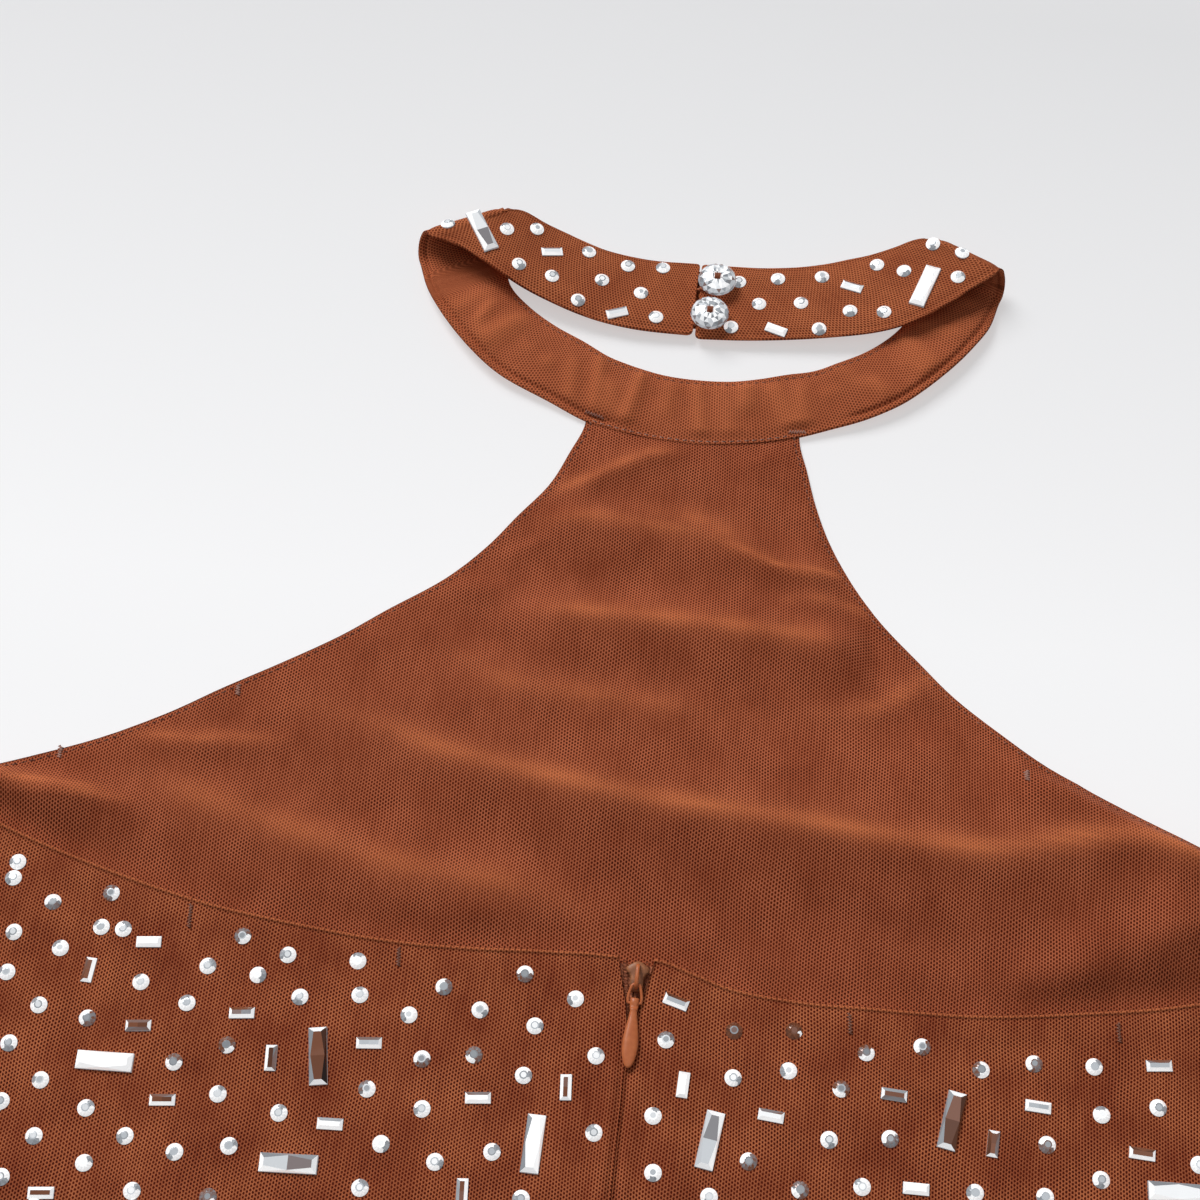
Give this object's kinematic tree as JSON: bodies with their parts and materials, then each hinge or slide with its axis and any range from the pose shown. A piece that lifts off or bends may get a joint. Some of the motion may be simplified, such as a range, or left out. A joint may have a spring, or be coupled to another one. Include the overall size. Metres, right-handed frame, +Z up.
{
  "type": "bodycon maxi dress",
  "caption": "Sleeveless stretch-mesh bodycon maxi dress with a halter collar, open back, concealed centre-back zip and scattered crystals, laid flat with its back up.",
  "frame": {"origin": "on the surface it lies on, in the middle of the laid dress", "axes": "+Y from the hem to the collar along the centre back, +X towards the right of the dress as it lies with its back up, +Z up from the surface"},
  "size_m": [0.4316, 1.398, 0.0134],
  "materials": {
    "power_mesh": "knitted stretch net laid double, matt, rust brown",
    "zip_and_loop_cloth": "woven tape and covered cord, rust brown",
    "painted_zinc": "die-cast zinc painted to match the cloth, semi-gloss",
    "crystal_resin": "faceted clear resin over a silver foil, high gloss"
  },
  "bodies": {
    "dress": {"front_panel": "power_mesh", "back_left_panel": "power_mesh", "back_right_panel": "power_mesh", "collar_band": "power_mesh", "button_upper": "crystal_resin", "button_lower": "crystal_resin", "button_loop_upper": "zip_and_loop_cloth", "button_loop_lower": "zip_and_loop_cloth", "zip_tape_left": "zip_and_loop_cloth", "zip_tape_right": "zip_and_loop_cloth", "zip_slider": "painted_zinc"},
    "link": {"zip_link": "painted_zinc"},
    "pull": {"zip_pull": "painted_zinc"}
  },
  "joints": [
    {"name": "link_swing", "type": "hinge", "parent": "dress", "child": "link", "pos_m": [0.00062, 0.44591, 0.0056], "axis": [-1, 0, 0], "range_deg": [0, 135]},
    {"name": "pull_swing", "type": "hinge", "parent": "link", "child": "pull", "pos_m": [0.00062, 0.44106, 0.00486], "axis": [-1, 0, 0], "range_deg": [0, 60]}
  ]
}
